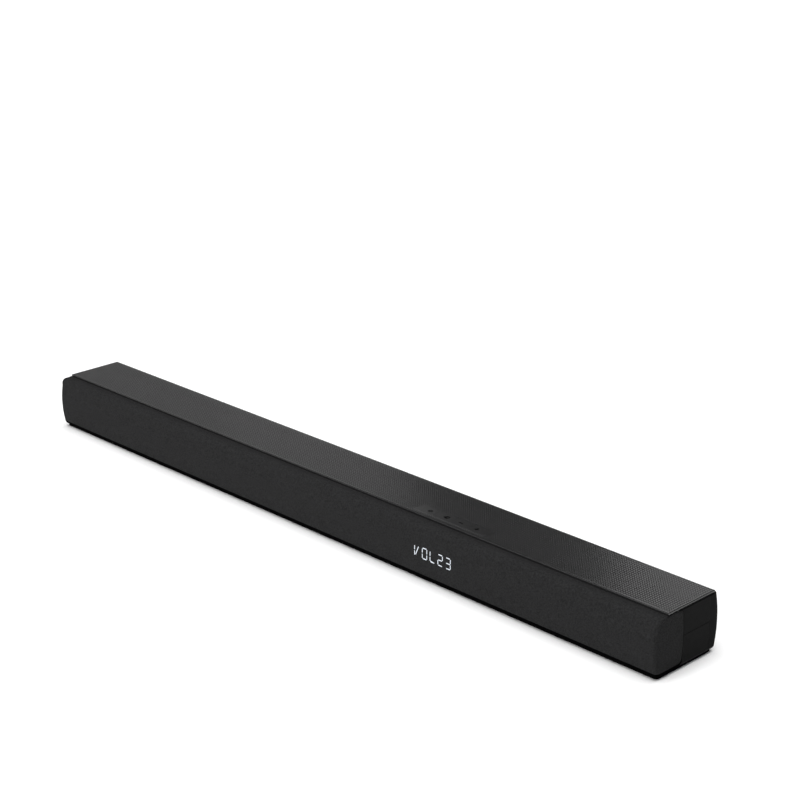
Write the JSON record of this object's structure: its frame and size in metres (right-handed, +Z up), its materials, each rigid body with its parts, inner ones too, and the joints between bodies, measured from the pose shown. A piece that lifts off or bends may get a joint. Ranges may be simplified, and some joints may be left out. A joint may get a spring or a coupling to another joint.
{
  "type": "soundbar",
  "caption": "Long low soundbar with a cloth-wrapped bulging front, textured top panel with flush keys, lit volume readout, end caps and a rear connector bay.",
  "frame": {"origin": "bottom centre of the bar, on the surface its feet stand on", "axes": "+X to the right along the bar seen from the front, +Y to the back, +Z up"},
  "size_m": [0.95, 0.096, 0.065],
  "materials": {
    "panel_plastic": "moulded waffle texture with a smooth border",
    "key_plastic": "fine satin",
    "housing_plastic": "fine spark-eroded satin",
    "rear_plastic": "fine spark-eroded satin",
    "base_plastic": "matt black",
    "inner_plastic": "moulded black",
    "grille_cloth": "plain-woven polyester",
    "frame_metal": "black powder coat",
    "foot_rubber": "matt",
    "connector_metal": "plated sheet metal",
    "socket_plastic": "semi-gloss",
    "circuit_board": "solder mask",
    "shield_can": "tinned",
    "heatsink_aluminium": "extruded",
    "transformer": "taped winding and ferrite core",
    "capacitor_sleeve": "shrink sleeve",
    "key_silicone": "silicone",
    "lit_segments": "lit diffuser",
    "display_window": "smoked",
    "black_screws": "black zinc",
    "steel_screws": "zinc",
    "insert_brass": "turned",
    "lead_sleeve": "vinyl",
    "basket_steel": "black e-coat",
    "motor_ferrite": "ferrite and zinc-plated steel",
    "surround_rubber": "butyl",
    "spider_cloth": "resin-dipped cotton",
    "cone_paper": "pressed pulp",
    "voice_coil": "copper winding on a former"
  },
  "bodies": {
    "enclosure": {"ac_inlet": "socket_plastic", "amplifier_heatsink": "heatsink_aluminium", "aux_socket": "socket_plastic", "baffle_screws": "steel_screws", "base_plate": "base_plastic", "centre_basket": "basket_steel", "centre_motor": "motor_ferrite", "centre_spider": "spider_cloth", "centre_surround": "surround_rubber", "cover_screws": "black_screws", "display_board": "circuit_board", "display_digits": "lit_segments", "display_holder": "inner_plastic", "display_window": "display_window", "driver_screws": "steel_screws", "front_baffle": "inner_plastic", "grille_cloth": "grille_cloth", "grille_frame": "frame_metal", "hdmi_sockets": "connector_metal", "housing_screws": "black_screws", "ir_receiver": "display_window", "key_board": "circuit_board", "key_carrier": "inner_plastic", "key_mat": "key_silicone", "left_basket": "basket_steel", "left_motor": "motor_ferrite", "left_spider": "spider_cloth", "left_surround": "surround_rubber", "lower_housing": "housing_plastic", "main_board": "circuit_board", "optical_socket": "socket_plastic", "power_board": "circuit_board", "power_capacitors": "capacitor_sleeve", "power_transformer": "transformer", "rear_cover": "rear_plastic", "ribbon_cable": "lead_sleeve", "right_basket": "basket_steel", "right_motor": "motor_ferrite", "right_spider": "spider_cloth", "right_surround": "surround_rubber", "rubber_feet": "foot_rubber", "speaker_leads": "lead_sleeve", "top_panel": "panel_plastic", "upper_housing": "housing_plastic", "usb_socket": "connector_metal", "wall_inserts": "insert_brass", "wireless_module": "shield_can"},
    "power_key": {"power_key": "key_plastic"},
    "input_key": {"input_key": "key_plastic"},
    "volume_down_key": {"volume_down_key": "key_plastic"},
    "volume_up_key": {"volume_up_key": "key_plastic"},
    "left_cone_assembly": {"left_cone": "cone_paper", "left_voice_coil": "voice_coil"},
    "centre_cone_assembly": {"centre_cone": "cone_paper", "centre_voice_coil": "voice_coil"},
    "right_cone_assembly": {"right_cone": "cone_paper", "right_voice_coil": "voice_coil"}
  },
  "joints": [
    {"name": "power_press", "type": "slide", "parent": "enclosure", "child": "power_key", "axis": [0, 0, -1], "range_m": [0, 0.0006], "stiffness_N_per_m": 2500, "deforming": ["key_mat"]},
    {"name": "input_press", "type": "slide", "parent": "enclosure", "child": "input_key", "axis": [0, 0, -1], "range_m": [0, 0.0006], "stiffness_N_per_m": 2500, "deforming": ["key_mat"]},
    {"name": "volume_down_press", "type": "slide", "parent": "enclosure", "child": "volume_down_key", "axis": [0, 0, -1], "range_m": [0, 0.0006], "stiffness_N_per_m": 2500, "deforming": ["key_mat"]},
    {"name": "volume_up_press", "type": "slide", "parent": "enclosure", "child": "volume_up_key", "axis": [0, 0, -1], "range_m": [0, 0.0006], "stiffness_N_per_m": 2500, "deforming": ["key_mat"]},
    {"name": "left_cone_stroke", "type": "slide", "parent": "enclosure", "child": "left_cone_assembly", "axis": [0, -1, 0], "range_m": [-0.0025, 0.0025], "stiffness_N_per_m": 900},
    {"name": "centre_cone_stroke", "type": "slide", "parent": "enclosure", "child": "centre_cone_assembly", "axis": [0, -1, 0], "range_m": [-0.0025, 0.0025], "stiffness_N_per_m": 900},
    {"name": "right_cone_stroke", "type": "slide", "parent": "enclosure", "child": "right_cone_assembly", "axis": [0, -1, 0], "range_m": [-0.0025, 0.0025], "stiffness_N_per_m": 900}
  ]
}
